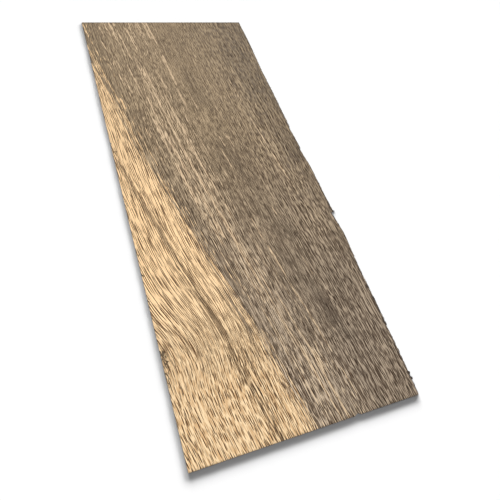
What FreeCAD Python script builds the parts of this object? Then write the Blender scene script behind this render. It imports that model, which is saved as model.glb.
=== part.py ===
"""One leaf of sliced oak veneer, lying on its back face.

X runs across the grain, Y runs along it from the near end to the far end, and Z is up.
The left edge is clipped straight. The right edge is as it was sliced: it wanders by a few
millimetres, bites have torn out of it along the grain, and a splinter stands out where the
longest bite begins. Both ends are sawn off square.

A point of the outline has a reach, measured from the clipped left edge, and a station,
measured from the near end. What belongs to the right edge is measured from the reach of the
leaf's narrowest width, so that it follows when the leaf is made wider.
"""
import FreeCAD, Part
import Sketcher
import os
from types import SimpleNamespace

# Driving dimensions in millimetres
DIMENSIONS = {
    "leaf_length": 500.0,
    "leaf_width": 196.5,
    "leaf_thickness": 0.6,
    # The right edge is one curve. Its control points are evenly spaced along the leaf, and
    # each stands this far beyond the narrowest width, from the near end to the far end.
    "edge_swell_1": 2.9,
    "edge_swell_2": 3.4,
    "edge_swell_3": 4.6,
    "edge_swell_4": 3.6,
    "edge_swell_5": 6.3,
    "edge_swell_6": 4.3,
    "edge_swell_7": 4.4,
    "edge_swell_8": 1.3,
    "edge_swell_9": 2.1,
    "edge_swell_10": 1.5,
    "edge_swell_11": 0.3,
    "edge_swell_12": 2.3,
    "edge_swell_13": 0.8,
    # Bites torn out of the right edge. Each is deepest at its station, where its floor stands
    # this far beyond the narrowest width, and runs out along the grain towards the near end.
    "long_bite_station": 189.5,
    "long_bite_floor": 2.6,
    "far_bite_station": 310.0,
    "far_bite_floor": 0.4,
    "step_bite_station": 277.0,
    "step_bite_floor": 1.2,
    "heel_bite_station": 64.0,
    "heel_bite_floor": 3.1,
    "near_bite_station": 14.0,
    "near_bite_floor": 2.4,
    "bite_break": 1.2,
    "tear_slant": 9.0,
    # The splinter that peeled outwards at the deep end of the longest bite
    "splinter_tip": 6.9,
    "splinter_tip_width": 0.3,
    "splinter_root_width": 3.2,
    "splinter_root_set": 0.4,
    "splinter_droop": 2.0,
    "splinter_thickness": 0.35,
    # The clipped left edge: a shallow nick, and a short split that runs into the leaf
    "nick_station": 308.0,
    "nick_run": 12.0,
    "nick_depth": 1.0,
    "split_station": 296.5,
    "split_depth": 4.4,
    "split_mouth": 0.7,
    # The near end: one chip out of the sawn edge, and the broken right corner
    "chip_reach": 139.0,
    "chip_width": 6.0,
    "chip_depth": 1.5,
    "corner_break": 1.2,
    # How far a cutting outline starts outside the edge that it cuts
    "overrun": 4.0,
}
EDGE_SWELLS = 13
BITES = ("long_bite", "far_bite", "step_bite", "heel_bite", "near_bite")


class Size:
    """A length in millimetres, with the formula that keeps it bound to the sheet of sizes."""

    def __init__(self, value, formula):
        self.value = value
        self.formula = formula

    def __add__(self, other):
        return Size(self.value + other.value, f"({self.formula} + {other.formula})")

    def __sub__(self, other):
        return Size(self.value - other.value, f"({self.formula} - {other.formula})")

    def __mul__(self, other):
        return Size(self.value * other.value, f"({self.formula} * {other.formula})")

    def share(self, part, parts):
        return Size(self.value * part / parts, f"({self.formula} * {part} / {parts})")

    def half(self):
        return self.share(1, 2)


document = FreeCAD.newDocument("veneer")
sheet = document.addObject("Spreadsheet::Sheet", "Sizes")
for row, (alias, value) in enumerate(DIMENSIONS.items(), start=1):
    sheet.set(f"A{row}", alias)
    sheet.set(f"B{row}", str(value))
    sheet.setAlias(f"B{row}", alias)
document.recompute()
sizes = {name: Size(value, f"Sizes.{name}") for name, value in DIMENSIONS.items()}
size = SimpleNamespace(**sizes)

# The two straight edges that everything is measured from, and where a cut starts outside them
LEFT_EDGE = Size(0.0, "0")
NEAR_END = Size(0.0, "0")
OFF_LEFT_EDGE = LEFT_EDGE - size.overrun
OFF_NEAR_END = NEAR_END - size.overrun
OFF_RIGHT_EDGE = size.leaf_width + size.splinter_tip + size.overrun

leaf = document.addObject("PartDesign::Body", "veneer_leaf")
leaf.Label = "veneer_leaf"


def new_sketch(name):
    """An empty sketch on the leaf's back face, which is the body's own horizontal plane."""
    sketch = leaf.newObject("Sketcher::SketchObject", name)
    back = next(item for item in leaf.Origin.OriginFeatures if item.Role == "XY_Plane")
    sketch.AttachmentSupport = (back, [""])
    sketch.MapMode = "FlatFace"
    return sketch


def hold(sketch, geometry, vertex, place, name):
    """Holds one vertex of a sketch at its reach and its station, bound to the sheet."""
    origin, origin_vertex = -1, 1
    for kind, length, suffix in zip(("DistanceX", "DistanceY"), place, ("reach", "station")):
        rule = Sketcher.Constraint(kind, origin, origin_vertex, geometry, vertex, length.value)
        index = sketch.addConstraint(rule)
        sketch.renameConstraint(index, f"{name}_{suffix}")
        sketch.setExpression(f"Constraints.{name}_{suffix}", length.formula)


def point(place):
    reach, station = place
    return FreeCAD.Vector(reach.value, station.value, 0)


def draw_polygon(name, corners):
    """A sketch of one closed outline of straight lines, whose corners are held one by one."""
    start, end = 1, 2
    sketch = new_sketch(name)
    following = corners[1:] + corners[:1]
    sides = [
        sketch.addGeometry(Part.LineSegment(point(corner), point(after)))
        for corner, after in zip(corners, following)
    ]
    for number, (side, corner) in enumerate(zip(sides, corners)):
        sketch.addConstraint(Sketcher.Constraint("Coincident", sides[number - 1], end, side, start))
        hold(sketch, side, start, corner, f"corner_{number}")
    return sketch


def edge_controls():
    """The control points of the right edge, from the near end to the far end."""
    return [
        (
            size.leaf_width + sizes[f"edge_swell_{number + 1}"],
            size.leaf_length.share(number, EDGE_SWELLS - 1),
        )
        for number in range(EDGE_SWELLS)
    ]


def draw_outline():
    """The leaf's own outline: three straight sides and the wandering right edge."""
    start, end, centre = 1, 2, 3
    cubic = 3
    sketch = new_sketch("Outline")
    near_left = (LEFT_EDGE, NEAR_END)
    far_left = (LEFT_EDGE, size.leaf_length)
    controls = edge_controls()
    poles = [point(place) for place in controls]
    near_end = sketch.addGeometry(Part.LineSegment(point(near_left), poles[0]))
    curve = Part.BSplineCurve(poles, None, None, False, cubic, None, False)
    right_edge = sketch.addGeometry(curve)
    far_end = sketch.addGeometry(Part.LineSegment(poles[-1], point(far_left)))
    left_edge = sketch.addGeometry(Part.LineSegment(point(far_left), point(near_left)))
    around = (near_end, right_edge, far_end, left_edge)
    for side, after in zip(around, around[1:] + around[:1]):
        sketch.addConstraint(Sketcher.Constraint("Coincident", side, end, after, start))
    hold(sketch, near_end, start, near_left, "near_left")
    hold(sketch, left_edge, start, far_left, "far_left")
    sketch.exposeInternalGeometry(right_edge)
    first_circle = left_edge + 1
    for number, place in enumerate(controls):
        hold(sketch, first_circle + number, centre, place, f"control_{number}")
    return sketch


def pad_from_back(sketch, name, thickness):
    """Raises a sketch's outline from the leaf's back face."""
    pad = leaf.newObject("PartDesign::Pad", name)
    pad.Profile = sketch
    pad.setExpression("Length", thickness.formula)
    document.recompute()


def cut_through(name, corners):
    """Cuts a closed outline right through the leaf."""
    sketch = draw_polygon(f"{name}Outline", corners)
    document.recompute()
    volume_before = leaf.Shape.Volume
    pocket = leaf.newObject("PartDesign::Pocket", name)
    pocket.Profile = sketch
    pocket.Type = "ThroughAll"
    pocket.Reversed = True
    document.recompute()
    if leaf.Shape.Volume >= volume_before:
        raise RuntimeError(f"{name} cut nothing")


def break_corner():
    """Breaks the near right corner at 45 degrees, where the leaf is easily knocked."""
    corner_reach = size.leaf_width + size.edge_swell_1
    outside = corner_reach + size.overrun
    corners = [
        (corner_reach - size.corner_break - size.overrun, OFF_NEAR_END),
        (outside, OFF_NEAR_END),
        (outside, size.corner_break + size.overrun),
    ]
    cut_through("CornerBreak", corners)


def tear_bite(name):
    """A bite breaks in steeply across the grain, and its long flank runs out along it."""
    floor = size.leaf_width + sizes[f"{name}_floor"]
    station = sizes[f"{name}_station"]
    flank_run = (OFF_RIGHT_EDGE - floor) * size.tear_slant
    corners = [
        (floor, station),
        (OFF_RIGHT_EDGE, station - flank_run),
        (OFF_RIGHT_EDGE, station + size.bite_break),
    ]
    cut_through(name.title().replace("_", ""), corners)


def nick_left_edge():
    half_run = size.nick_run.half() + size.overrun
    corners = [
        (size.nick_depth, size.nick_station),
        (OFF_LEFT_EDGE, size.nick_station + half_run),
        (OFF_LEFT_EDGE, size.nick_station - half_run),
    ]
    cut_through("Nick", corners)


def split_left_edge():
    half_mouth = size.split_mouth.half()
    corners = [
        (size.split_depth, size.split_station),
        (OFF_LEFT_EDGE, size.split_station + half_mouth),
        (OFF_LEFT_EDGE, size.split_station - half_mouth),
    ]
    cut_through("Split", corners)


def chip_near_end():
    half_width = size.chip_width.half()
    left = size.chip_reach - half_width
    right = size.chip_reach + half_width
    corners = [
        (left, OFF_NEAR_END),
        (right, OFF_NEAR_END),
        (right, NEAR_END),
        (size.chip_reach, size.chip_depth),
        (left, NEAR_END),
    ]
    cut_through("Chip", corners)


def peel_splinter():
    """A sliver still rooted above the long bite, whose tip droops towards the near end."""
    half_root = size.splinter_root_width.half()
    half_tip = size.splinter_tip_width.half()
    root_reach = size.leaf_width + size.long_bite_floor - size.splinter_root_set
    root_station = size.long_bite_station + size.bite_break + half_root
    tip_reach = size.leaf_width + size.splinter_tip
    tip_station = root_station - size.splinter_droop
    corners = [
        (root_reach, root_station - half_root),
        (tip_reach, tip_station - half_tip),
        (tip_reach, tip_station + half_tip),
        (root_reach, root_station + half_root),
    ]
    pad_from_back(draw_polygon("SplinterOutline", corners), "Splinter", size.splinter_thickness)


def place_on_centre():
    """Puts the origin under the middle of the leaf, whose widest point is the splinter's tip."""
    full_width = size.leaf_width + size.splinter_tip
    leaf.setExpression("Placement.Base.x", f"-1 * {full_width.half().formula}")
    leaf.setExpression("Placement.Base.y", f"-1 * {size.leaf_length.half().formula}")
    document.recompute()


def check_and_export():
    failed = [item.Name for item in document.Objects if {"Invalid", "Error"} & set(item.State)]
    shape = leaf.Shape
    if failed or shape.isNull() or not shape.isValid() or len(shape.Solids) != 1:
        raise RuntimeError(f"the leaf did not build as one sound solid: {failed}")
    os.makedirs("parts", exist_ok=True)
    shape.exportStep(os.path.join("parts", f"{leaf.Label}.step"))
    print(f"{leaf.Label}: {shape.Volume:.1f} mm3, {len(shape.Faces)} faces")


pad_from_back(draw_outline(), "Slice", size.leaf_thickness)
for bite in BITES:
    tear_bite(bite)
break_corner()
nick_left_edge()
split_left_edge()
chip_near_end()
peel_splinter()
place_on_centre()
check_and_export()
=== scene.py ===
"""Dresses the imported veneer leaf: its torn outline, its relief, its oak figure, and the stage.

Reaches and stations are in millimetres, as a veneer clipper reads them: a reach is measured
from the clipped left edge, and a station from the near end. Blender's own sizes are in metres.
"""
import math

import bmesh
import bpy
import numpy as np
from bpy.props import FloatProperty, FloatVectorProperty, IntProperty, PointerProperty
from mathutils import Matrix, Vector
from mathutils.geometry import delaunay_2d_cdt
from mathutils.kdtree import KDTree


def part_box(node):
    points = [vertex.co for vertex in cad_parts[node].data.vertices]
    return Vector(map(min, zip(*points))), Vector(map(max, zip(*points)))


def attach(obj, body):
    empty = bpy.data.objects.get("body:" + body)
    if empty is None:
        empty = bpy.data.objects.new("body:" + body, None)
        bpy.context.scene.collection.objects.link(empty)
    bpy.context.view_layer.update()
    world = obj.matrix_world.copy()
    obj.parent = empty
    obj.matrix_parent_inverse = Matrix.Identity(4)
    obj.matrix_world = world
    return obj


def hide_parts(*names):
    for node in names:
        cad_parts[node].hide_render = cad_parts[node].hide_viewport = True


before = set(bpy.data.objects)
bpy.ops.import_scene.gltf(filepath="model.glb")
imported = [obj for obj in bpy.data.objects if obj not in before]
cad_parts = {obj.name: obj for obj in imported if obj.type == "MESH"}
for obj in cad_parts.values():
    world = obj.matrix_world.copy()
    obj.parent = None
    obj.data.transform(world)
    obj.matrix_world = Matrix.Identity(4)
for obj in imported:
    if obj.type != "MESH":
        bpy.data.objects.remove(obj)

bl_info = {
    "name": "Veneer leaf",
    "version": (1, 0, 0),
    "blender": (4, 5, 0),
    "location": "3D View > Sidebar > Veneer",
    "description": "Gives a sliced veneer leaf its torn edges, open pores and figure",
    "category": "Object",
}

NODE = "veneer_leaf"
BODY = "root"
WOOD = "open-pored oak"
MM = 0.001

bpy.context.view_layer.update()
CAD_LOW, CAD_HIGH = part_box(NODE)
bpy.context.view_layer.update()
LEAF_LENGTH = (CAD_HIGH.y - CAD_LOW.y) / MM
LEAF_THICKNESS = CAD_HIGH.z - CAD_LOW.z


def srgb(red, green, blue):
    """A display colour from 0 to 255 as the linear colour that a shader takes."""
    shares = (value / 255 for value in (red, green, blue))
    return tuple(x / 12.92 if x <= 0.04045 else ((x + 0.055) / 1.055) ** 2.4 for x in shares)


# Sizes and colours that a user would change


def length(name, description, millimetres):
    return FloatProperty(
        name=name, description=description, default=millimetres * MM, min=0.0, unit="LENGTH"
    )


def tint(name, description, *display_colour):
    return FloatVectorProperty(
        name=name, description=description, default=srgb(*display_colour), min=0.0, max=1.0,
        size=3, subtype="COLOR",
    )


class LeafSizes(bpy.types.PropertyGroup):
    """Sizes of the leaf's mesh and of its relief."""

    lattice_across: length("Lattice across", "Spacing of the show face's points", 0.56)
    lattice_along: length("Lattice along", "Spacing of the show face's rows", 2.8)
    back_coarseness: FloatProperty(
        name="Back coarseness", description="How much wider the back's lattice is", default=2.2
    )
    outline_step: length("Outline step", "Longest side of the outline's sides", 0.7)
    tear_depth: length("Tear depth", "Deepest step of the torn right edge", 0.45)
    saw_depth: length("Saw tear-out", "Deepest tear-out of the sawn ends", 0.16)
    clip_depth: length("Clip roughness", "Roughness of the clipped left edge", 0.05)
    furrow_depth: length("Furrow depth", "Depth of the furrows along the grain", 0.07)
    furrow_width: length("Furrow width", "Spacing of the furrows across the grain", 2.4)
    furrow_length: length("Furrow length", "Length over which a furrow changes", 42.0)
    seed: IntProperty(name="Seed", description="Seed of the torn steps", default=7)


class FraySizes(bpy.types.PropertyGroup):
    """Sizes of the loose fibres along the edges."""

    side_spacing: length("Side spacing", "Between fibres on the torn edge", 1.9)
    end_spacing: length("End spacing", "Between fibres on the two sawn ends", 2.6)
    side_length: length("Side length", "Longest fibre on the torn edge", 3.2)
    end_length: length("End length", "Longest fibre on the sawn ends", 0.9)
    fibre_width: length("Fibre width", "Thickness of a fibre at its root", 0.3)
    seed: IntProperty(name="Seed", description="Seed of the scatter", default=3)


class WoodLook(bpy.types.PropertyGroup):
    """Colours of the wood and sizes of its pores."""

    sap_light: tint("Sapwood light", "Bright fibres of the sapwood", 255, 223, 177)
    sap_dark: tint("Sapwood dark", "Dull fibres of the sapwood", 222, 182, 133)
    sap_pore: tint("Sapwood pore", "Open pores in the sapwood", 86, 50, 18)
    heart_light: tint("Heartwood light", "Bright fibres of the heartwood", 206, 185, 157)
    heart_dark: tint("Heartwood dark", "Dull fibres of the heartwood", 110, 91, 70)
    heart_pore: tint("Heartwood pore", "Open pores in the heartwood", 46, 28, 10)
    near_cast: tint("Near cast", "Tint of the heartwood at the near end", 249, 248, 251)
    far_cast: tint("Far cast", "Tint of the heartwood at the far end", 247, 240, 226)
    sap_cast: tint("Sapwood cast", "Tint of the sapwood past the knot", 255, 250, 244)
    smoke_cast: tint("Smoke cast", "Tint of the smoky line in the sapwood", 255, 238, 212)
    bark: tint("Bark", "Bark flecks and the stain at the knot", 58, 46, 34)
    pore_width: length("Pore width", "Spacing of the pores across the grain", 2.0)
    pore_length: length("Pore length", "Spacing of the pores along the grain", 9.5)


class StageLook(bpy.types.PropertyGroup):
    """The floor, the lamps and the camera."""

    floor_size: length("Floor size", "Side of the square floor", 8000.0)
    floor_tone: FloatProperty(name="Floor tone", description="Reflectance", default=0.2)
    fill: FloatProperty(name="Fill", description="Light of the world on the leaf", default=0.5)
    key: FloatProperty(name="Key", description="Share of light from the key lamp", default=0.5)
    lens: FloatProperty(name="Lens", description="Focal length", default=32.58, unit="CAMERA")


# Node trees written as expressions

# The Mix node's sockets for colours, and the Random Value node's for plain numbers
MIX_SHARE, MIX_FIRST, MIX_SECOND, MIXED = 0, 6, 7, 2
RANDOM_LEAST, RANDOM_MOST, RANDOM = 2, 3, 1


def math_node(operation, swapped=False):
    """A method of a field that adds one Math node."""

    def method(self, other):
        values = [other, self] if swapped else [self, other]
        return self.tree.node("ShaderNodeMath", {"operation": operation}, values)

    return method


class Field:
    """One output of a node, with arithmetic that adds Math nodes."""

    def __init__(self, tree, socket):
        self.tree = tree
        self.socket = socket

    __add__ = __radd__ = math_node("ADD")
    __sub__ = math_node("SUBTRACT")
    __rsub__ = math_node("SUBTRACT", swapped=True)
    __mul__ = __rmul__ = math_node("MULTIPLY")
    __truediv__ = math_node("DIVIDE")
    at_least = math_node("MAXIMUM")
    at_most = math_node("MINIMUM")
    above = math_node("GREATER_THAN")


class Tree:
    """A node tree that is filled by expressions."""

    def __init__(self, tree):
        self.tree = tree

    def node(self, kind, settings=None, inputs=None, output=0):
        """Adds a node, makes its settings first, and fills its sockets with values or links."""
        made = self.tree.nodes.new(kind)
        for name, value in (settings or {}).items():
            setattr(made, name, value)
        pairs = enumerate(inputs) if isinstance(inputs, list) else (inputs or {}).items()
        for key, value in pairs:
            if isinstance(value, Field):
                self.tree.links.new(value.socket, made.inputs[key])
            else:
                made.inputs[key].default_value = value
        return Field(self, made.outputs[output]) if made.outputs else made

    def step(self, value, start, end):
        """Rises smoothly from 0 at start to 1 at end."""
        return self.node(
            "ShaderNodeMapRange",
            {"interpolation_type": "SMOOTHSTEP"},
            {"Value": value, "From Min": start, "From Max": end},
        )

    def place(self, *axes):
        """A vector from two or three numbers."""
        return self.node("ShaderNodeCombineXYZ", None, list(axes))

    def part(self, vector, axis):
        return self.node("ShaderNodeSeparateXYZ", None, [vector], axis)

    def vector(self, operation, *values):
        return self.node("ShaderNodeVectorMath", {"operation": operation}, list(values))

    def noise(self, across, along, detail=2.0):
        return self.node(
            "ShaderNodeTexNoise",
            {"noise_dimensions": "2D"},
            {"Vector": self.place(across, along), "Scale": 1.0, "Detail": detail},
        )

    def mix(self, share, first, second):
        """A colour between two colours."""
        first, second = (c if isinstance(c, Field) else (*c, 1.0) for c in (first, second))
        sockets = {MIX_SHARE: share, MIX_FIRST: first, MIX_SECOND: second}
        return self.node("ShaderNodeMix", {"data_type": "RGBA"}, sockets, MIXED)

    def scale(self, colour, factor):
        """A colour made lighter or darker by a factor that varies."""
        scaled = {"Vector": colour, "Scale": factor}
        return self.node("ShaderNodeVectorMath", {"operation": "SCALE"}, scaled)


def new_material(name):
    """An empty material, and its tree."""
    material = bpy.data.materials.new(name)
    material.use_nodes = True
    material.node_tree.nodes.clear()
    return material, Tree(material.node_tree)


def geometry_tree(name, inputs):
    """A geometry tree with these inputs, given by name and kind, and the fields to take."""
    group = bpy.data.node_groups.new(name, "GeometryNodeTree")
    group.interface.new_socket("Geometry", in_out="INPUT", socket_type="NodeSocketGeometry")
    for label, kind in inputs.items():
        group.interface.new_socket(label, in_out="INPUT", socket_type=f"NodeSocket{kind}")
    group.interface.new_socket("Geometry", in_out="OUTPUT", socket_type="NodeSocketGeometry")
    tree = Tree(group)
    given = group.nodes.new("NodeGroupInput")
    return tree, {label: Field(tree, given.outputs[label]) for label in ("Geometry", *inputs)}


def finish_tree(tree, geometry, material):
    """Ends a geometry tree in real meshes of one material."""
    real = tree.node("GeometryNodeRealizeInstances", None, {"Geometry": geometry})
    dressed = tree.node("GeometryNodeSetMaterial", None, {"Geometry": real, "Material": material})
    tree.node("NodeGroupOutput", None, {"Geometry": dressed})
    return tree


def run_tree(piece, tree, values):
    """Runs a geometry tree on a piece with these inputs, and keeps the plain mesh."""
    modifier = piece.modifiers.new(tree.tree.name, "NODES")
    modifier.node_group = tree.tree
    for item in tree.tree.interface.items_tree:
        if item.in_out == "INPUT" and item.name in values:
            modifier[item.identifier] = values[item.name]
    graph = bpy.context.evaluated_depsgraph_get()
    mesh = bpy.data.meshes.new_from_object(piece.evaluated_get(graph))
    piece.modifiers.remove(modifier)
    piece.data = mesh


def keep_piece(name, mesh):
    piece = bpy.data.objects.new(name, mesh)
    bpy.context.scene.collection.objects.link(piece)
    return piece


# The run of the grain

# The fibres drift towards the left edge as they run to the far end. Each bend adds to that
# drift round a place: (extra slope, reach, station, radius across, radius along).
FIBRE_SLOPE = -0.125
FIBRE_BENDS = (
    (-0.20, 25.0, 135.0, 50.0, 45.0),
    (-0.24, 12.0, 108.0, 26.0, 22.0),
    (0.13, 52.0, 68.0, 30.0, 20.0),
    (0.12, 26.0, 60.0, 16.0, 13.0),
    (-0.10, 20.0, 10.0, 45.0, 25.0),
)

# They drift less next to the torn edge, from these reaches on, and towards the far end
STRAIGHT_EDGE_REACHES, STRAIGHTER = (165.0, 200.0), 0.07
STRAIGHT_FAR_STATIONS, FAR_STRAIGHTER = (230.0, 310.0), 0.05

# A fibre is followed back to its origin in this many steps
DRIFT_STEPS = 60

# The fibres spread apart past the knot, so inside the outer rings their pattern is counted
# from the near end up to here, and beyond here from the far origin
PATTERN_CHANGE = 84.0
FAR_ORIGIN = 150.0
OUTER_RINGS_FROM, OUTER_RINGS_FULL = 140.0, 170.0

# Pores are drawn out into long lines past these stations, and mostly not past these rings
FLOW_STATIONS = (50.0, 125.0)
FLOW_RINGS = (92.0, 112.0)
FLOW_LOST = 0.8

# Growth-ring lines that run the whole length, as reaches at these stations. The first follows
# the dark streak in the sapwood, the second the edge of the heartwood.
RING_STATIONS = (0, 100, 170, 250, 330, 400, 500)
RING_LINES = (
    (-27, -47, -68, -89, -109, -128, -154),
    (73, 52, 32, 11, -9, -28, -54),
    (104, 84.5, 62, 43, 27.5, 13.5, -4),
    (124, 106, 92, 80, 66, 57, 43),
    (148, 130, 117, 105, 91, 84, 73),
    (192, 186, 179, 168, 157, 149, 143),
    (252, 246, 239, 228, 217, 209, 203),
)
HEARTWOOD_RING = RING_LINES[2][0]

# How much of the wood is heartwood on each ring line, from 0 to 1: (ring root, share near the
# near end, share in the middle, share near the far end). The sapwood has one smoky line at 73,
# and the heartwood a bundle of pale streaks round 124.
SHARE_STATIONS = (40, 160, 290, 450)
HEART_SHARES = (
    (0, -0.10, -0.10, -0.10, -0.10),
    (54, -0.06, -0.10, -0.10, -0.10),
    (62, 0.02, -0.08, -0.08, -0.08),
    (68, 0.22, 0.06, 0.06, 0.02),
    (72, 0.38, 0.62, 0.50, 0.40),
    (77, 0.28, 0.16, 0.08, 0.10),
    (83, 0.10, -0.04, -0.06, 0.02),
    (91, 0.13, -0.04, 0.05, 0.08),
    (97, 0.17, 0.24, 0.36, 0.26),
    (101, 0.52, 0.60, 0.56, 0.66),
    (104, 0.95, 0.98, 0.98, 1.00),
    (108, 0.98, 1.00, 1.00, 1.02),
    (115, 0.95, 0.92, 0.90, 1.00),
    (122, 0.88, 0.82, 0.79, 0.95),
    (127, 0.87, 0.85, 0.80, 0.94),
    (134, 0.93, 0.95, 0.90, 0.97),
    (142, 0.98, 0.96, 0.96, 0.96),
    (152, 1.10, 1.13, 1.13, 1.12),
    (170, 1.20, 1.22, 1.22, 1.20),
    (260, 1.25, 1.26, 1.26, 1.24),
)

# How bright the heartwood is on each ring line, in the same stations
HEART_TONES = (
    (90, 0.82, 0.80, 0.82, 0.72),
    (96, 0.86, 0.70, 0.78, 0.70),
    (103, 0.98, 0.82, 0.79, 0.67),
    (120, 0.88, 1.02, 0.96, 0.78),
    (140, 0.80, 0.90, 0.85, 0.83),
    (150, 0.78, 0.86, 0.86, 0.82),
    (160, 0.66, 0.75, 0.77, 0.78),
    (175, 0.67, 0.74, 0.80, 0.76),
    (195, 0.70, 0.76, 0.78, 0.65),
    (210, 0.70, 0.69, 0.61, 0.57),
    (228, 0.58, 0.60, 0.54, 0.48),
)

# Pale streaks in the heartwood, each along a ring line: a place that it passes through as
# (reach, station), the stations where it starts and ends, its half width, and its strength
PALE_STREAKS = (
    (118.7, 35, -5, 66, 0.7, 0.75),
    (125.5, 30, -5, 54, 0.75, 0.75),
    (129, 14, -5, 30, 0.5, 0.8),
    (97, 80, 58, 110, 0.6, 0.9),
    (93.5, 124, 105, 150, 0.8, 0.9),
    (100.5, 122, 101, 172, 0.7, 1),
    (106.5, 90, 74, 102, 0.7, 0.9),
    (111, 68, 52, 84, 0.6, 0.9),
    (115, 90, 72, 108, 0.6, 0.8),
    (120.5, 62, 46, 76, 0.5, 0.8),
    (124.5, 51, 40, 62, 0.4, 0.8),
    (105, 45, 16, 60, 0.5, 0.7),
    (131.2, 88, 76, 96, 0.35, 0.7),
    (134, 84, 70, 102, 0.6, 0.8),
    (136.8, 66, 57, 75, 0.4, 0.75),
    (140.5, 60, 46, 76, 0.35, 0.75),
    (142.6, 30, 12, 44, 0.5, 0.8),
    (145.2, 33, 24, 42, 0.35, 0.7),
    (121.8, 149, 128, 168, 0.9, 0.75),
    (124.6, 144, 133, 153, 0.4, 0.7),
    (127.6, 112, 98, 126, 0.6, 0.8),
    (130.6, 101, 94, 108, 0.35, 0.7),
    (150, 135, 123, 162, 0.7, 0.6),
    (164, 56, 46, 66, 0.5, 0.6),
    (68, 307, 298, 345, 0.9, 1),
    (80, 300, 306, 338, 0.6, 0.9),
    (54, 310, 306, 338, 0.7, 0.8),
    (53.7, 298, 285, 312, 0.5, 0.8),
    (62.3, 283, 250, 318, 0.75, 1.15),
    (62, 250, 216, 275, 0.75, 1.15),
    (72, 274, 247, 302, 0.65, 1.1),
    (82, 275, 231, 311, 0.75, 1.15),
    (76.5, 246, 231, 262, 0.5, 1),
    (65.4, 234, 225, 244, 0.5, 1),
    (71, 234, 225, 244, 0.5, 1),
    (111, 272, 253, 291, 0.6, 1),
    (113.7, 254.5, 247, 262, 0.4, 0.8),
    (105.5, 250, 226, 274, 0.5, 0.9),
    (92, 294, 280, 307, 0.4, 0.7),
    (113.5, 298, 287, 308, 0.5, 0.8),
    (40, 247, 226, 266, 0.5, 0.8),
    (72.5, 226, 203, 247, 0.7, 1.1),
    (73, 196, 172, 218, 0.65, 1.05),
    (79, 190, 178, 203, 0.8, 1.1),
    (82, 222, 205, 235, 0.6, 1),
    (88, 192, 166, 210, 0.8, 1.15),
    (93, 213, 198, 224, 0.6, 1),
    (111, 212, 203, 222, 0.5, 0.7),
    (114.5, 188, 168, 203, 0.7, 0.9),
    (131, 250, 218, 264, 0.5, 0.8),
    (139, 201, 193, 212, 0.5, 0.8),
    (123, 298, 286, 312, 0.9, 0.6),
    (159, 305, 286, 336, 0.6, 0.7),
    (169, 240, 202, 276, 1, 0.8),
    (177, 180, 166, 194, 0.8, 0.6),
    (73.2, 484, 462, 502, 0.7, 1.2),
    (77, 480, 457, 502, 0.6, 1.2),
    (51, 470, 446, 492, 0.45, 1.1),
    (82.4, 420, 382, 442, 0.95, 1.3),
    (87, 365, 343, 384, 0.8, 1.1),
    (98, 365, 343, 380, 0.5, 0.9),
    (95.4, 405, 393, 416, 0.5, 0.9),
    (91.6, 458, 450, 468, 0.5, 0.9),
    (57.5, 404, 391, 418, 0.8, 0.8),
    (42, 384, 369, 398, 0.6, 0.7),
    (51, 355, 337, 374, 0.6, 0.8),
    (61, 357, 334, 381, 0.7, 0.8),
    (71, 355, 334, 378, 0.6, 0.8),
    (119, 365, 337, 391, 0.6, 0.8),
    (151, 380, 350, 411, 0.6, 0.7),
    (42.6, 447, 430, 466, 0.3, 0.8),
    (146.5, 460, 450, 471, 0.5, 0.5),
    (22, 362, 350, 374, 0.6, 0.9),
)

# Dark streaks in the sapwood, given in the same way
DARK_STREAKS = (
    (71.5, 5, -5, 17, 0.8, 0.9),
    (65.5, 22, 11, 42, 1.1, 0.9),
    (61, 50, 34, 80, 1.4, 0.6),
    (56, 62, 40, 90, 1.8, 0.45),
    (47, 119, 84, 178, 1.4, 0.5),
    (29, 180, 168, 236, 1.3, 0.5),
    (12, 250, 224, 288, 1.3, 0.5),
    (36, 262, 236, 300, 0.8, 0.7),
    (27, 312, 296, 328, 1, 0.8),
    (71.5, 104, 82, 134, 2.3, 0.9),
    (74.5, 71, 60, 86, 0.7, 0.6),
    (80, 112, 88, 140, 2, 1),
)

# A streak's ends fade over this length, and at full strength it moves the share by this much
STREAK_FADE = 6.0
STREAK_WEIGHT = 1.1

# Bark left on the torn edge, as (reach, station, radius across, radius along, strength), and
# the stain of the knot that the clipper cut away
BARK_SPOTS = (
    (199.2, 18.5, 1.6, 1.8, 2.2),
    (199.2, 14.2, 1.4, 1.5, 2.2),
    (198.6, 40, 1.2, 8, 1),
    (199.6, 66, 1.4, 5, 1.5),
    (200, 80, 1.2, 5, 1.4),
    (200.2, 90, 1.3, 6, 1.2),
    (199.4, 103, 1.6, 3.5, 1.2),
    (202.8, 191, 2, 2.4, 1.8),
    (200, 198, 1, 6, 1.2),
    (1.2, 87, 3.6, 4, 0.95),
    (2.4, 79, 3.2, 7, 0.7),
    (1, 70, 2.6, 6, 0.55),
    (0.6, 62, 1.8, 7, 0.45),
    (2.6, 296.4, 2.4, 1.2, 0.9),
    (0.6, 157, 1.2, 4, 0.6),
    (0.8, 133, 1, 4, 0.6),
    (1.2, 178, 1.2, 3, 0.5),
)


def bump_at(reach, station, place_reach, place_station, across, along):
    """1 at a place, falling away over its radii."""
    return np.exp(-(((reach - place_reach) / across) ** 2) - ((station - place_station) / along) ** 2)


def ramp(value, start, end):
    """Rises evenly from 0 at start to 1 at end."""
    return np.clip((value - start) / (end - start), 0.0, 1.0)


def fibre_slope(reach, station):
    """How far the fibres move across the leaf for each millimetre along it."""
    slope = FIBRE_SLOPE + STRAIGHTER * ramp(reach, *STRAIGHT_EDGE_REACHES)
    slope = slope + FAR_STRAIGHTER * ramp(station, *STRAIGHT_FAR_STATIONS)
    for extra, *place in FIBRE_BENDS:
        slope = slope + extra * bump_at(reach, station, *place)
    return slope


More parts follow.
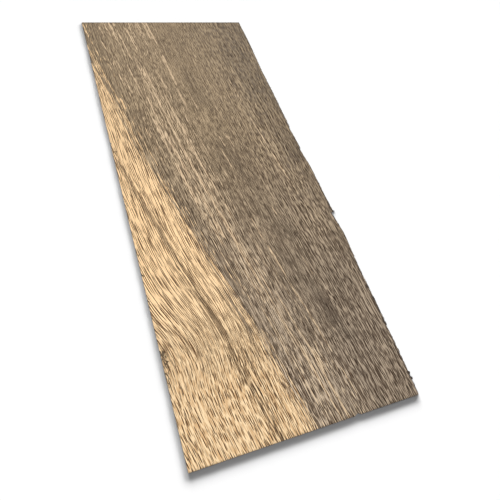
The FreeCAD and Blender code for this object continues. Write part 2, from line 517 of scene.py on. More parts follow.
def fibre_root(reach, station, origin):
    """The reach where the fibre through a place crosses the origin's station."""
    step = (station - origin) / DRIFT_STEPS
    for _ in range(DRIFT_STEPS):
        halfway = reach - fibre_slope(reach, station) * step / 2
        reach = reach - fibre_slope(halfway, station - step / 2) * step
        station = station - step
    return reach


def ring_root(reach, station):
    """The reach where the ring line through a place meets the near end."""
    lines = [np.interp(station, RING_STATIONS, line) for line in RING_LINES]
    root = np.full(reach.shape, np.nan)
    for line, after, start, end in zip(lines, lines[1:], RING_LINES, RING_LINES[1:]):
        share = (reach - line) / (after - line)
        between = (share >= 0.0) & (share <= 1.0)
        root = np.where(between, start[0] + share * (end[0] - start[0]), root)
    return root


def streak_amount(reach, station, ring, streaks):
    """How much of a streak lies at each place, from 0 to 1."""
    amount = np.zeros(reach.shape)
    for at_reach, at_station, start, end, half_width, strength in streaks:
        line = ring_root(np.array([at_reach]), np.array([at_station]))[0]
        beside = np.exp(-(((ring - line) / half_width) ** 2))
        within = ramp(station, start, start + STREAK_FADE) * ramp(station, end, end - STREAK_FADE)
        amount = np.maximum(amount, strength * beside * within)
    return amount


def spot_amount(reach, station, spots):
    """How much of a spot lies at each place."""
    amount = np.zeros_like(reach)
    for *place, strength in spots:
        amount = np.maximum(amount, strength * bump_at(reach, station, *place))
    return amount


def look_up(table, ring, station):
    """A value from a table of ring roots and stations, blended between its entries."""
    roots = [row[0] for row in table]
    columns = [np.interp(ring, roots, column) for column in list(zip(*table))[1:]]
    value = columns[0]
    for before, after, start, end in zip(columns, columns[1:], SHARE_STATIONS, SHARE_STATIONS[1:]):
        share = ramp(station, start, end)
        value = np.where(station > start, before + share * (after - before), value)
    return value


def heart_share(reach, station, ring):
    """How much of the wood at each place is heartwood, with the streaks that stand out."""
    share = look_up(HEART_SHARES, ring, station)
    share = share - STREAK_WEIGHT * streak_amount(reach, station, ring, PALE_STREAKS)
    return share + STREAK_WEIGHT * streak_amount(reach, station, ring, DARK_STREAKS)


def far_fibre(reach, station, ring, near_fibre):
    """The fibre of each place counted from the far origin, and as before in the outer rings."""
    inner = ramp(ring, OUTER_RINGS_FULL, OUTER_RINGS_FROM)
    return near_fibre + (fibre_root(reach, station, FAR_ORIGIN) - near_fibre) * inner


def flow_amount(station, ring):
    """How far the pores are drawn out into long lines, from 0 to 1."""
    return ramp(station, *FLOW_STATIONS) * (1.0 - FLOW_LOST * ramp(ring, *FLOW_RINGS))


def places_of(mesh):
    """The reach and the station of each vertex."""
    places = np.empty(len(mesh.vertices) * 3, np.float32)
    mesh.vertices.foreach_get("co", places)
    places = places.reshape(-1, 3).astype(float)
    return (places[:, 0] - CAD_LOW.x) / MM, (places[:, 1] - CAD_LOW.y) / MM


def store_grain(mesh, fibre, station):
    """Stores the fibre and the station of each corner as the mesh's UV map."""
    corners = np.empty(len(mesh.loops), np.int32)
    mesh.loops.foreach_get("vertex_index", corners)
    run = np.stack([fibre, station], axis=1)[corners]
    grain = mesh.uv_layers.new(name="grain")
    grain.uv.foreach_set("vector", run.astype(np.float32).ravel())


def store_amount(mesh, name, amount):
    stored = mesh.attributes.new(name, "FLOAT", "POINT")
    stored.data.foreach_set("value", np.asarray(amount, np.float32))


def paint(mesh, edge_shade, bark=None):
    """Stores what the wood's shader reads: the run of the fibres, the figure and the painted shade
    along the edges.
    """
    reach, station = places_of(mesh)
    ring = ring_root(reach, station)
    near_fibre = fibre_root(reach, station, 0.0)
    store_grain(mesh, near_fibre, station)
    amounts = {
        "far_grain": far_fibre(reach, station, ring, near_fibre),
        "ring": ring,
        "heart": heart_share(reach, station, ring),
        "tone": look_up(HEART_TONES, ring, station),
        "flow": flow_amount(station, ring),
        "bark": spot_amount(reach, station, BARK_SPOTS) if bark is None else bark,
        # painted shade along the edges
        "edge_shade": edge_shade,
    }
    for name, amount in amounts.items():
        store_amount(mesh, name, amount)


# The leaf's mesh


def leaf_outline():
    """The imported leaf's outline, seen from above, anticlockwise from the near left corner."""
    shape = bmesh.new()
    shape.from_mesh(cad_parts[NODE].data)
    bmesh.ops.remove_doubles(shape, verts=shape.verts, dist=1e-6)
    back = {face for face in shape.faces if face.normal.z < -0.9}
    following = {}
    for face in back:
        for corner in face.loops:
            if sum(other in back for other in corner.edge.link_faces) == 1:
                following[corner.link_loop_next.vert] = corner.vert
    start = min(following, key=lambda vertex: vertex.co.x + vertex.co.y)
    outline = [start]
    while following[outline[-1]] is not start:
        outline.append(following[outline[-1]])
    places = [vertex.co.xy.copy() for vertex in outline]
    shape.free()
    return places


# Where the two sawn ends lie, and the torn edge with its splinter
HALF_LENGTH = LEAF_LENGTH * MM / 2
SAWN_BEYOND = 0.49 * LEAF_LENGTH * MM
TORN_FROM = 90.0 * MM
SPLINTER_FROM = CAD_HIGH.x - 1.9 * MM

# The splinter thins out from its root, and loses this share of its thickness at the tip
SPLINTER_ROOT = CAD_HIGH.x - 2.4 * MM
SPLINTER_THINNING = 0.62

# How wide the painted shade is along an edge, and how strong the painted shade is at the sawn ends
SHADED_WIDTH = 1.3 * MM
SAWN_SHADE = 0.7


class TornSteps:
    """Steps that the knife left in the torn edge: each runs along the grain and breaks off."""

    COUNT = 200
    SHORTEST, LONGEST = 1.5, 13.0
    DEEPEST_START = 0.6
    SLANT = 0.035

    def __init__(self, depth, seed):
        rng = np.random.default_rng(seed)
        gaps = rng.uniform(self.SHORTEST, self.LONGEST, self.COUNT)
        self.starts = np.cumsum(gaps) - self.LONGEST
        self.insets = rng.uniform(0.0, self.DEEPEST_START, self.COUNT) * depth
        self.depth = depth

    def inset(self, station):
        """How far the edge stands inside the outline at a station in millimetres."""
        step = max(int(np.searchsorted(self.starts, station)) - 1, 0)
        run = station - self.starts[step]
        return min(self.insets[step] + run * self.SLANT * MM, self.depth)


def worn(place, along, torn, sizes, rng):
    """A place on the outline, moved inwards as its edge was torn, clipped or sawn."""
    if along and place.x > 0:
        place.x -= torn.inset((place.y - CAD_LOW.y) / MM)
    elif along:
        place.x += sizes.clip_depth * rng.random()
    elif abs(place.y) > SAWN_BEYOND:
        place.y -= math.copysign(sizes.saw_depth * rng.random() ** 2, place.y)
    return place


def roughen(outline, sizes):
    """The outline in short sides, each worn inwards apart from the splinter's own."""
    torn = TornSteps(sizes.tear_depth, sizes.seed)
    rng = np.random.default_rng(sizes.seed + 1)
    places = []
    for start, end in zip(outline, outline[1:] + outline[:1]):
        count = max(1, math.ceil((end - start).length / sizes.outline_step))
        along = abs(end.y - start.y) > abs(end.x - start.x)
        for number in range(count):
            place = start.lerp(end, number / count)
            kept = count == 1 or place.x > SPLINTER_FROM
            places.append(place if kept else worn(place, along, torn, sizes, rng))
    return places


# The columns of the lattice lean as the grain does, and stay clear of the outline by this
# share of their spacing
LATTICE_LEAN = -0.2
LATTICE_MARGIN = 0.62


def lattice_points(outline, across, along):
    """Points inside the leaf, in leaning columns and straight rows."""
    tree = KDTree(len(outline))
    for number, place in enumerate(outline):
        tree.insert(place.to_3d(), number)
    tree.balance()
    points = []
    for row in range(int((CAD_HIGH.y - CAD_LOW.y) / along)):
        y = CAD_LOW.y + (row + 0.5) * along
        shift = (LATTICE_LEAN * y - CAD_LOW.x) % across
        for column in range(int((CAD_HIGH.x - CAD_LOW.x) / across) + 1):
            place = Vector((CAD_LOW.x + shift + column * across, y))
            if tree.find(place.to_3d())[2] > LATTICE_MARGIN * across:
                points.append(place)
    return points


def fill_outline(outline, across, along):
    """Triangles that fill the outline, with sides that run along the grain.

    They are found where the lattice's cells are upright squares, and kept where they lie.
    """
    points = outline + lattice_points(outline, across, along)
    upright = [Vector((at.x - LATTICE_LEAN * at.y, at.y * across / along)) for at in points]
    border = list(range(len(outline)))
    made, _, triangles, *_ = delaunay_2d_cdt(upright, [], [border], 1, 1e-8)
    if len(made) != len(points):
        raise RuntimeError("the outline crosses itself")
    used = sorted({corner for triangle in triangles for corner in triangle} | set(border))
    number_of = {old: new for new, old in enumerate(used)}
    places = [points[old] for old in used]
    return places, [[number_of[corner] for corner in triangle] for triangle in triangles]


def leaf_height(place):
    """The show face's height: full on the leaf, and thinning out along the splinter."""
    share = (place.x - SPLINTER_ROOT) / (CAD_HIGH.x - SPLINTER_ROOT)
    return LEAF_THICKNESS * (1 - SPLINTER_THINNING * min(max(share, 0.0), 1.0))


def painted_edge_shade(vertices, outline):
    """How much painted shade darkens the wood: fully at the torn edge, and a little at the two sawn
    ends.
    """
    torn_edge = sorted((place.y, place.x) for place in outline if place.x > TORN_FROM)
    stations, reaches = zip(*torn_edge)
    to_edge = np.interp(vertices[:, 1], stations, reaches) - vertices[:, 0]
    to_end = HALF_LENGTH - np.abs(vertices[:, 1])
    torn, sawn = ramp(to_edge, SHADED_WIDTH, 0.0), ramp(to_end, SHADED_WIDTH, 0.0)
    return np.maximum(torn, SAWN_SHADE * sawn)


def leaf_mesh(sizes):
    """A closed mesh of the leaf: a fine show face, a coarser back and the cut walls."""
    outline = roughen(leaf_outline(), sizes)
    around = len(outline)
    across, along = sizes.lattice_across, sizes.lattice_along
    show, show_triangles = fill_outline(outline, across, along)
    coarse = sizes.back_coarseness
    back, back_triangles = fill_outline(outline, across * coarse, along * coarse)
    first_back = len(show)
    vertices = [(p.x, p.y, CAD_LOW.z + leaf_height(p)) for p in show]
    vertices += [(p.x, p.y, CAD_LOW.z) for p in back]
    faces = [list(triangle) for triangle in show_triangles]
    faces += [[corner + first_back for corner in reversed(face)] for face in back_triangles]
    for number in range(around):
        after = (number + 1) % around
        faces.append([number, first_back + number, first_back + after, after])
    mesh = bpy.data.meshes.new(NODE)
    mesh.from_pydata(vertices, [], faces)
    # with the painted shade along the torn and sawn edges
    paint(mesh, painted_edge_shade(np.array(vertices), outline))
    return mesh


RELIEF_INPUTS = {
    "Furrow depth": "Float",
    "Furrow width": "Float",
    "Furrow length": "Float",
    "Middle": "Float",
    "Material": "Material",
}
FURROW_DETAIL = 3.0
FURROW_STEP = (0.35, 0.7)


def relief_tree():
    """Cuts shallow furrows into both faces along the fibres."""
    tree, take = geometry_tree("Leaf relief", RELIEF_INPUTS)
    run = tree.node(
        "GeometryNodeInputNamedAttribute", {"data_type": "FLOAT_VECTOR"}, {"Name": "grain"}
    )
    across = tree.part(run, "X") / take["Furrow width"]
    along = tree.part(run, "Y") / take["Furrow length"]
    furrow = tree.step(tree.noise(across, along, FURROW_DETAIL), *FURROW_STEP)
    height = tree.part(tree.node("GeometryNodeInputPosition"), "Z")
    side = tree.node("ShaderNodeMath", {"operation": "SIGN"}, [height - take["Middle"]])
    inwards = tree.place(0.0, 0.0, furrow * take["Furrow depth"] * side * -1.0)
    moved = {"Geometry": take["Geometry"], "Offset": inwards}
    relief = tree.node("GeometryNodeSetPosition", None, moved)
    return finish_tree(tree, relief, take["Material"])


def build_leaf(sizes, look):
    """The whole leaf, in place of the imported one."""
    piece = keep_piece("oak_leaf", leaf_mesh(sizes))
    values = {
        "Furrow depth": sizes.furrow_depth,
        "Furrow width": sizes.furrow_width / MM,
        "Furrow length": sizes.furrow_length / MM,
        "Middle": CAD_LOW.z + LEAF_THICKNESS / 2,
        "Material": wood_material(look),
    }
    run_tree(piece, relief_tree(), values)
    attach(piece, BODY)
    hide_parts(NODE)


# Loose fibres and bark on the edges

# Fibres stand on a strip along the middle of the leaf's thickness, clear of the corners
STRIP_LOW, STRIP_HIGH = 0.35, 0.65
TORN_CLEAR_OF_END = 2 * MM
SAWN_BAND = 0.5 * MM
SAWN_WITHIN = 95.0 * MM

# The fibres of the torn edge lean along the grain, and those of the sawn ends stand straight
TORN_LEAN = (0.0, -2.4, 0.0)
SAWN_LEAN = (0.0, 0.0, 0.0)

# A fibre's sides, how deep it is rooted, how far it turns aside, and its least size as shares
FIBRE_SIDES = 5
FIBRE_SINK = 0.2 * MM
FIBRE_TURN = 0.5
THINNEST, SHORTEST = 0.4, 0.15

FRAY_INPUTS = {
    "Density": "Float",
    "Seed": "Int",
    "Length": "Float",
    "Width": "Float",
    "Lean": "Vector",
    "Material": "Material",
}

# Crumbs of bark that cling to the torn edge, as (station, half width, half length)
BARK_CRUMBS = (
    (14.4, 1.1, 1.3),
    (19.2, 1, 1.2),
    (32.2, 0.35, 1.8),
    (39, 0.35, 2),
    (47.2, 0.4, 2.2),
    (65.4, 0.5, 2),
    (90, 0.35, 3),
    (103, 0.45, 2.4),
    (162.7, 0.4, 2.2),
    (173.7, 0.45, 2),
    (201.8, 0.45, 2.6),
    (227.3, 0.55, 1.2),
)

# How far a crumb stands outside the edge, how uneven and how high it is, as shares of its own
# size and of the leaf's thickness, and how much bark it is painted with
CRUMB_OUTSIDE = 0.4
CRUMB_UNEVEN = 0.2
CRUMB_HEIGHT = 0.4
CRUMB_BARK = 2.0


def on_torn_edge(place):
    return TORN_FROM < place.x < SPLINTER_FROM


def takes_torn_fibres(place):
    return on_torn_edge(place) and abs(place.y) < HALF_LENGTH - TORN_CLEAR_OF_END


def takes_sawn_fibres(place):
    return abs(place.y) > HALF_LENGTH - SAWN_BAND and abs(place.x) < SAWN_WITHIN


def edge_strip(outline, wanted):
    """A narrow strip along the outline's wanted sides, with its area and its length."""
    low = CAD_LOW.z + STRIP_LOW * LEAF_THICKNESS
    high = CAD_LOW.z + STRIP_HIGH * LEAF_THICKNESS
    vertices, faces = [], []
    run = 0.0
    for start, end in zip(outline, outline[1:] + outline[:1]):
        if wanted(start) and wanted(end):
            first = len(vertices)
            vertices += [(*start, low), (*end, low), (*end, high), (*start, high)]
            faces.append([first, first + 1, first + 2, first + 3])
            run += (end - start).length
    mesh = bpy.data.meshes.new("strip")
    mesh.from_pydata(vertices, [], faces)
    return mesh, run * (high - low), run


def random_share(tree, take, least, most, salt):
    """A number of each fibre's own. The salt keeps it apart from the fibre's other numbers."""
    numbers = {RANDOM_LEAST: least, RANDOM_MOST: most, "Seed": take["Seed"] + salt}
    return tree.node("FunctionNodeRandomValue", {"data_type": "FLOAT"}, numbers, RANDOM)


def fibre_shape(tree, take):
    """One thin cone, as long and as thick as a fibre can be."""
    cone = {
        "Vertices": FIBRE_SIDES,
        "Radius Top": 0.0,
        "Radius Bottom": take["Width"] * 0.5,
        "Depth": take["Length"],
    }
    return tree.node("GeometryNodeMeshCone", None, cone, "Mesh")


def fibre_direction(tree, take, outwards):
    """Outwards from the edge, along the lean, and a little to one side."""
    aside = tree.place(0.0, random_share(tree, take, -FIBRE_TURN, FIBRE_TURN, 1), 0.0)
    direction = tree.vector("ADD", tree.vector("ADD", outwards, take["Lean"]), aside)
    return tree.node("FunctionNodeAlignRotationToVector", {"axis": "Z"}, {"Vector": direction})


def fray_tree():
    """Scatters thin tapering fibres over a strip."""
    tree, take = geometry_tree("Loose fibres", FRAY_INPUTS)
    scatter = {"Mesh": take["Geometry"], "Density": take["Density"], "Seed": take["Seed"]}
    points = tree.node("GeometryNodeDistributePointsOnFaces", None, scatter, "Points")
    outwards = Field(tree, points.socket.node.outputs["Normal"])
    thickness = random_share(tree, take, THINNEST, 1.0, 2)
    length_share = random_share(tree, take, SHORTEST, 1.0, 3)
    placed = {
        "Points": points,
        "Instance": fibre_shape(tree, take),
        "Rotation": fibre_direction(tree, take, outwards),
        "Scale": tree.place(thickness, thickness, length_share),
    }
    fibres = tree.node("GeometryNodeInstanceOnPoints", None, placed)
    sunk = {"Instances": fibres, "Translation": (0.0, 0.0, -FIBRE_SINK), "Local Space": True}
    rooted = tree.node("GeometryNodeTranslateInstances", None, sunk)
    return finish_tree(tree, rooted, take["Material"])


def fray_piece(name, strip, spacing, longest, lean, fray, tree):
    """The loose fibres on one kind of edge, as a piece."""
    mesh, area, run = strip
    piece = keep_piece(name, mesh)
    values = {
        "Density": run / spacing / area,
        "Seed": fray.seed,
        "Length": longest,
        "Width": fray.fibre_width,
        "Lean": lean,
        "Material": bpy.data.materials[WOOD],
    }
    run_tree(piece, tree, values)
    # The loose fibres get the painted edge shade all over
    paint(piece.data, np.ones(len(piece.data.vertices)))
    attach(piece, BODY)


def add_crumb(shape, middle, half_width, half_length, rng):
    """Adds one uneven lump of bark round its middle."""
    half_height = CRUMB_HEIGHT * LEAF_THICKNESS
    size = Matrix.Diagonal((half_width * MM, half_length * MM, half_height, 1.0))
    sized = Matrix.Translation(middle) @ size
    lump = bmesh.ops.create_icosphere(shape, subdivisions=2, radius=1.0, matrix=sized)
    for vertex in lump["verts"]:
        vertex.co.x += rng.uniform(-CRUMB_UNEVEN, CRUMB_UNEVEN) * half_width * MM
        vertex.co.y += rng.uniform(-CRUMB_UNEVEN, CRUMB_UNEVEN) * half_length * MM


def crumbs_mesh(outline, seed):
    """Lumps of bark, each sunk into the torn edge at its station."""
    torn_edge = [place for place in outline if on_torn_edge(place)]
    rng = np.random.default_rng(seed)
    shape = bmesh.new()
    for station, half_width, half_length in BARK_CRUMBS:
        along = CAD_LOW.y + station * MM
        edge = min(torn_edge, key=lambda place: abs(place.y - along))
        across = edge.x + CRUMB_OUTSIDE * half_width * MM
        middle = (across, along, CAD_LOW.z + LEAF_THICKNESS / 2)
        add_crumb(shape, middle, half_width, half_length, rng)
    mesh = bpy.data.meshes.new("bark_crumbs")
    shape.to_mesh(mesh)
    shape.free()
    return mesh


def build_crumbs(outline, seed):
    """The crumbs of bark as one piece."""
    mesh = crumbs_mesh(outline, seed)
    mesh.materials.append(bpy.data.materials[WOOD])
    piece = keep_piece("bark_crumbs", mesh)
    full = np.ones(len(mesh.vertices))
    # The crumbs get the painted edge shade all over, and the bark colour
    paint(mesh, full, bark=full * CRUMB_BARK)
    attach(piece, BODY)


def build_fray(sizes, fray):
    """Fibres that the knife tore on the long edge and the saw left on the ends, and bark."""
    outline = roughen(leaf_outline(), sizes)
    torn = edge_strip(outline, takes_torn_fibres)
    sawn = edge_strip(outline, takes_sawn_fibres)
    tree = fray_tree()
    fray_piece("torn_fibres", torn, fray.side_spacing, fray.side_length, TORN_LEAN, fray, tree)
    fray_piece("sawn_fibres", sawn, fray.end_spacing, fray.end_length, SAWN_LEAN, fray, tree)
    build_crumbs(outline, fray.seed)


# The wood's finish

# The spacing of each pattern, across the grain and along it
WAVER_SPACING = (9.0, 34.0)
STRAND_SPACING = (1.2, 13.0)
THREAD_SPACING = (0.8, 6.0)
LINE_SPACING = (1.0, 60.0)
BUNDLE_SPACING = (1.0, 90.0)
CLOUD_SPACING = (12.0, 50.0)
FLECK_SPACING = (1.2, 3.0)

# How far the fibres waver, and the width of a strand that changes at its own station
WAVER = 1.8
CHANGE_WIDTH, CHANGE_SPREAD = 0.8, 150.0

# Layers of pores: width and length as shares of a vessel's, shift of the pattern, unevenness
VESSELS = (1.0, 1.0, 0.0, 0.9)
SMALL_PORES = (0.85, 0.8, 5.3, 0.9)
DRAWN_PORES = (0.85, 3.0, 9.1, 0.7)
THIN_PORES = (0.7, 2.0, 2.7, 0.7)

# A pore's core and the rise and fall of the painted highlight round it, measured sideways;
# its end, measured along the grain; and how dark it is, by its cell's tone
PORE_CORE = (0.1, 0.23)
HIGHLIGHT_RISE, HIGHLIGHT_FALL = (0.19, 0.33), (0.33, 0.5)
PORE_END = (0.2, 0.46)
PORE_TAPER = 0.12
PORE_TONE = (0.0, 0.7)

# The sapwood is brighter between the knot and these stations, and ages by the heartwood
BRIGHTER_FROM, BRIGHTER_TO = (60.0, 130.0), (240.0, 300.0)
BRIGHTER, SAP_LEVEL = 0.13, 1.01
AGED_WIDTH, AGED = 8.0, 0.66

# The surface, and the fine relief that the mesh is too coarse for
ROUGHNESS, ROUGHER_PORES, ROUGHER_STRANDS = 0.62, 0.2, 0.15
REFLECTION = 0.25
RELIEF_DEPTH = 0.8 * MM


class Grain:
    """The fibre, ring line and station of each place in the wood, and its fine patterns."""

    def __init__(self, wood):
        self.wood = wood
        run = wood.node("ShaderNodeUVMap", {"uv_map": "grain"})
        self.station = wood.part(run, "Y")
        self.fibre = self.changed(wood.part(run, "X"))
        waver = (self.pattern(WAVER_SPACING) - 0.5) * WAVER
        self.fibre = self.fibre + waver
        self.ring = self.painted("ring") + waver * 0.6
        self.strands = self.pattern(STRAND_SPACING, 1.0)
        self.threads = self.pattern(THREAD_SPACING, 0.0)
        self.fading = 1.0 - self.past(150.0, 450.0) * 0.54

    def painted(self, name):
        """An amount that is stored on the mesh."""
        return self.wood.node("ShaderNodeAttribute", {"attribute_name": name}, None, "Fac")

    def past(self, start, end):
        """Rises from 0 to 1 between two stations."""
        return self.wood.step(self.station, start, end)

    def changed(self, near_fibre):
        """The fibres' numbers, which start anew past the knot, for each at its own station."""
        own_share = self.wood.noise(near_fibre / CHANGE_WIDTH, 0.0) - 0.5
        own_change = own_share * CHANGE_SPREAD + PATTERN_CHANGE
        beyond = (self.station - own_change).above(0.0)
        return near_fibre + (self.painted("far_grain") - near_fibre) * beyond

    def pattern(self, spacing, detail=2.0, lines=None):
        """Noise that runs along the fibres, or along other lines."""
        across, along = spacing
        return self.wood.noise((lines or self.fibre) / across, self.station / along, detail)


def heart_mask(grain):
    """1 in the heartwood and 0 in the sapwood, which meet in long interleaving streaks."""
    bundles = grain.wood.step(grain.pattern(BUNDLE_SPACING, lines=grain.ring), 0.3, 0.7)
    chance = bundles + (grain.strands - 0.5) * 0.55 + (grain.threads - 0.5) * 0.35
    return grain.wood.step(grain.painted("heart") - chance, -0.07, 0.07)


def pore_layer(grain, look, layer):
    """The cores of one layer of spindles, each as dark as its own cell says, and a painted highlight
    round each.
    """
    wood = grain.wood
    wide, long, shift, unevenness = layer
    across = grain.fibre / (look.pore_width / MM * wide) + shift
    along = grain.station / (look.pore_length / MM * long) + shift
    place = wood.place(across, along)
    settings = {"voronoi_dimensions": "2D", "feature": "F1"}
    cells = {"Vector": place, "Scale": 1.0, "Randomness": unevenness}
    middle = wood.node("ShaderNodeTexVoronoi", settings, cells, "Position")
    colour = Field(wood, middle.socket.node.outputs["Color"])
    tone = wood.step(wood.node("ShaderNodeSeparateColor", None, [colour], "Red"), *PORE_TONE)
    offset = wood.vector("ABSOLUTE", wood.vector("SUBTRACT", place, middle))
    beside, ahead = wood.part(offset, "X"), wood.part(offset, "Y")
    strength = tone * (1.0 - wood.step(ahead, *PORE_END))
    spread = beside + ahead * PORE_TAPER
    core = (1.0 - wood.step(spread, *PORE_CORE)) * strength
    # Painted highlight: a pale band beside the core
    highlight = wood.step(spread, *HIGHLIGHT_RISE) * (1.0 - wood.step(spread, *HIGHLIGHT_FALL)) * strength
    return core, highlight


def open_pores(grain, look, flow):
    """The dark pores and the painted highlights round them, drawn out into lines where the fibres
    flow.
    """
    vessels, vessel_highlights = pore_layer(grain, look, VESSELS)
    small, small_highlights = pore_layer(grain, look, SMALL_PORES)
    drawn, drawn_highlights = pore_layer(grain, look, DRAWN_PORES)
    thin, _ = pore_layer(grain, look, THIN_PORES)
    short = 1.0 - flow * 0.8
    cores = (vessels + small * 0.7) * short + (drawn * 2.2 + thin * 1.4) * flow
    # Painted highlights beside the pores
    highlights = (vessel_highlights + small_highlights * 0.6) * short + drawn_highlights * flow * 1.5
    return (cores * grain.fading).at_most(1.0), highlights


def fibre_shade(grain, heart, flow):
    """How bright the fibres are: short strands, with more lines near the end and in the flow."""
    lined = 0.25 + flow * 0.2 + heart * (1.0 - grain.past(80.0, 300.0)) * 0.1
    short = grain.strands * 0.5 + grain.threads * 0.5
    lines = grain.pattern(LINE_SPACING, 0.0)
    shade = (short + (lines - short) * lined - 0.5) * grain.fading + 0.5
    shade = grain.wood.step(shade, 0.42, 0.58)
    return shade + (0.85 - shade) * flow * 0.75


def sapwood_colour(grain, look, shade):
    """Pale gold, brightest past the knot."""
    wood = grain.wood
    colour = wood.mix(shade, look.sap_dark, look.sap_light)
    gain = grain.past(*BRIGHTER_FROM) * BRIGHTER - grain.past(*BRIGHTER_TO) * BRIGHTER
    colour = wood.scale(colour, gain + SAP_LEVEL)
    untinted = (1.0, 1.0, 1.0)
    cast = wood.mix(grain.past(60.0, 200.0), untinted, look.sap_cast)
    colour = wood.vector("MULTIPLY", colour, cast)
    aged = wood.step(grain.ring, HEARTWOOD_RING, HEARTWOOD_RING + AGED_WIDTH)
    return wood.mix(aged * AGED, colour, look.heart_light)


def heartwood_colour(grain, look, shade):
    """Grey brown with soft clouds, as bright as its ring line is."""
    wood = grain.wood
    colour = wood.mix(shade, look.heart_dark, look.heart_light)
    clouds = (grain.pattern(CLOUD_SPACING, lines=grain.ring) - 0.5) * 0.35
    colour = wood.scale(colour, grain.painted("tone") + clouds)
    cast = wood.mix(grain.past(20.0, 340.0), look.near_cast, look.far_cast)
    cast = wood.mix(wood.step(grain.ring, 86.0, 100.0), look.smoke_cast, cast)
    return wood.vector("MULTIPLY", colour, cast)


def flecked_and_edge_shaded(grain, look, colour):
    """A colour under flecks of bark, and darkened by painted shade along the torn and sawn edges."""
    wood = grain.wood
    bark = grain.painted("bark")
    flecks = (grain.pattern(FLECK_SPACING, 1.0) - 0.5) * 2.4
    cover = wood.step(bark + flecks, 0.35, 0.75) * wood.step(bark, 0.08, 0.4)
    colour = wood.mix(cover * 0.85, colour, look.bark)
    # Painted shade: darker along the torn and sawn edges, unevenly along the strands
    return wood.scale(colour, 1.0 - grain.painted("edge_shade") * (grain.strands * 0.5 + 0.2))


def wood_material(look):
    """Open-pored oak: streaky fibres, dark pores, pale sapwood and grey-brown heartwood."""
    material, wood = new_material(WOOD)
    grain = Grain(wood)
    heart = heart_mask(grain)
    flow = grain.painted("flow")
    pores, highlights = open_pores(grain, look, flow)
    shade = fibre_shade(grain, heart, flow)
    sapwood = sapwood_colour(grain, look, shade)
    heartwood = heartwood_colour(grain, look, shade)
    colour = wood.mix(heart, sapwood, heartwood)
    # Painted highlight: the pale band round each pore lightens the colour, more in the heartwood
    colour = wood.scale(colour, highlights * (0.25 + heart * 0.2) + 1.0)
    colour = wood.mix(pores * 0.95, colour, wood.mix(heart, look.sap_pore, look.heart_pore))
    relief = {"Strength": 1.0, "Distance": RELIEF_DEPTH, "Height": shade * 0.25 - pores}
    finish = {
        "Base Color": flecked_and_edge_shaded(grain, look, colour),
        "Roughness": ROUGHNESS + pores * ROUGHER_PORES + (grain.strands - 0.5) * ROUGHER_STRANDS,
        "Specular IOR Level": REFLECTION,
        "Normal": wood.node("ShaderNodeBump", None, relief),
    }
    shader = wood.node("ShaderNodeBsdfPrincipled", None, finish)
    wood.node("ShaderNodeOutputMaterial", None, {"Surface": shader})
    return material


# The stage


def floor_material(tone):
    material, coat = new_material("white floor")
    shader = coat.node("ShaderNodeBsdfDiffuse", None, {"Color": (tone, tone, tone, 1.0)})
    coat.node("ShaderNodeOutputMaterial", None, {"Surface": shader})
    return material


def build_floor(stage):
    """A square floor that reaches far beyond the leaf."""
    half = stage.floor_size / 2
    corners = [(-half, -half, 0), (half, -half, 0), (half, half, 0), (-half, half, 0)]
    mesh = bpy.data.meshes.new("floor")
    mesh.from_pydata(corners, [], [[0, 1, 2, 3]])
    mesh.materials.append(floor_material(stage.floor_tone))
    floor = keep_piece("floor", mesh)
    return floor


def aim(thing, place, target, roll=0.0):
    """Puts a lamp or camera at a place, turned to its target."""
    thing.location = place
    thing.rotation_mode = "QUATERNION"
    view = (Vector(target) - Vector(place)).to_track_quat("-Z", "Y")
    thing.rotation_quaternion = (view.to_matrix() @ Matrix.Rotation(roll, 3, "Z")).to_quaternion()


def sun(name, strength, softness, place):
    """A lamp as wide as its softness in degrees, shining from a place towards the leaf."""
    lamp = bpy.data.lights.new(name, "SUN")
    lamp.energy = strength
    lamp.angle = math.radians(softness)
    thing = bpy.data.objects.new(name, lamp)
    bpy.context.scene.collection.objects.link(thing)
    aim(thing, place, (0.0, 0.0, 0.0))
    return thing


# Where the key stands, and how soft the lamps are in degrees. The raking lamps stand behind
# the leaf, each given by its turn to the right and its rise above the floor.
KEY_FROM = (0.62, 0.75, 1.1)
KEY_SOFTNESS = 12.0
RAKING_SOFTNESS = 4.6
RAKING_LAMPS = ((2.0, 4.1), (17.0, 4.2), (32.0, 4.4), (48.0, 4.6))

# The floor's brightness in the picture, a little more than white
FLOOR_BRIGHTNESS = 1.02


def build_lamps(stage, floor):
    """A soft key, and a fan of low lamps on the floor alone, for the thin leaf's soft shadow."""
    key_height = Vector(KEY_FROM).normalized().z
    sun("key", stage.key * math.pi / key_height, KEY_SOFTNESS, KEY_FROM)
    wanted = FLOOR_BRIGHTNESS / stage.floor_tone - stage.fill - stage.key
    only_floor = bpy.data.collections.new("lit by the raking lamps")
    only_floor.objects.link(floor)
    for turn, rise in RAKING_LAMPS:
        across, along = math.sin(math.radians(turn)), math.cos(math.radians(turn))
        height = math.sin(math.radians(rise))
        strength = wanted * math.pi / height / len(RAKING_LAMPS)
        lamp = sun("raking", strength, RAKING_SOFTNESS, (across, along, height))
        lamp.light_linking.receiver_collection = only_floor


def build_world(stage):
    """White to the camera, in mirrors and through glass, and a plain fill on the leaf."""
    world = bpy.data.worlds.new("studio")
    bpy.context.scene.world = world
    world.use_nodes = True
    world.node_tree.nodes.clear()
    room = Tree(world.node_tree)
    seen = room.node("ShaderNodeLightPath", None, None, "Is Camera Ray")
    for kind in ("Is Glossy Ray", "Is Transmission Ray"):
        seen = seen.at_least(room.node("ShaderNodeLightPath", None, None, kind))
    strength = seen * (1.0 - stage.fill) + stage.fill
    light = room.node(
        "ShaderNodeBackground", None, {"Color": (1.0, 1.0, 1.0, 1.0), "Strength": strength}
    )
    room.node("ShaderNodeOutputWorld", None, {"Surface": light})


# The view in which the leaf's four corners stand as they do in the photo
CAMERA_PLACE = (-0.1408, -0.2694, 0.3502)
CAMERA_TARGET = (-0.0012, -0.0868, 0.0006)
CAMERA_ROLL = math.radians(22.3)


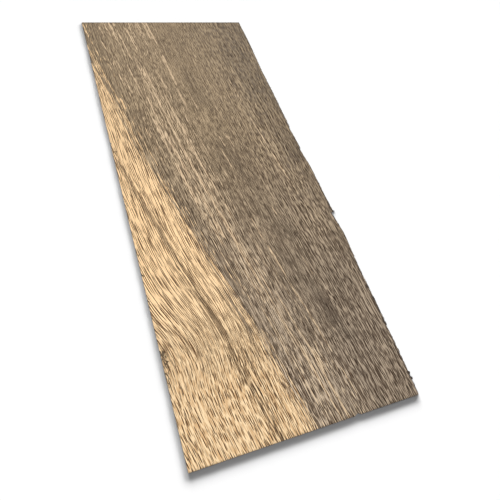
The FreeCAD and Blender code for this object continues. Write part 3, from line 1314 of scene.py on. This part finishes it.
def build_camera(stage):
    lens = bpy.data.cameras.new("camera")
    lens.lens = stage.lens
    lens.sensor_width = 36.0
    lens.clip_start = 0.01
    camera = bpy.data.objects.new("camera", lens)
    bpy.context.scene.collection.objects.link(camera)
    aim(camera, CAMERA_PLACE, CAMERA_TARGET, CAMERA_ROLL)
    bpy.context.scene.camera = camera


class VENEER_OT_leaf(bpy.types.Operator):
    """Builds the leaf with its torn edge, furrows and finish"""

    bl_idname = "veneer.leaf"
    bl_label = "Leaf"

    def execute(self, context):
        build_leaf(context.scene.veneer_sizes, context.scene.veneer_look)
        return {"FINISHED"}


class VENEER_OT_fray(bpy.types.Operator):
    """Scatters loose fibres along the torn and sawn edges"""

    bl_idname = "veneer.fray"
    bl_label = "Frayed edges"

    def execute(self, context):
        build_fray(context.scene.veneer_sizes, context.scene.veneer_fray)
        return {"FINISHED"}


class VENEER_OT_stage(bpy.types.Operator):
    """Sets the floor, the lamps, the world and the camera"""

    bl_idname = "veneer.stage"
    bl_label = "Stage"

    def execute(self, context):
        stage = context.scene.veneer_stage
        build_lamps(stage, build_floor(stage))
        build_world(stage)
        build_camera(stage)
        context.scene.view_settings.view_transform = "Standard"
        return {"FINISHED"}


class VENEER_PT_panel(bpy.types.Panel):
    """Lists the steps in the sidebar"""

    bl_idname = "VENEER_PT_panel"
    bl_label = "Veneer leaf"
    bl_space_type = "VIEW_3D"
    bl_region_type = "UI"
    bl_category = "Veneer"

    def draw(self, context):
        for step in STEPS:
            self.layout.operator(step.bl_idname)


STEPS = (VENEER_OT_leaf, VENEER_OT_fray, VENEER_OT_stage)
GROUPS = {
    "veneer_sizes": LeafSizes,
    "veneer_fray": FraySizes,
    "veneer_look": WoodLook,
    "veneer_stage": StageLook,
}


def register():
    for made in (*GROUPS.values(), *STEPS, VENEER_PT_panel):
        bpy.utils.register_class(made)
    for name, group in GROUPS.items():
        setattr(bpy.types.Scene, name, PointerProperty(type=group))


def unregister():
    for name in GROUPS:
        delattr(bpy.types.Scene, name)
    for made in reversed((*GROUPS.values(), *STEPS, VENEER_PT_panel)):
        bpy.utils.unregister_class(made)


def main():
    register()
    bpy.ops.veneer.leaf()
    bpy.ops.veneer.fray()
    bpy.ops.veneer.stage()
    bpy.context.view_layer.update()


if __name__ == "__main__":
    main()
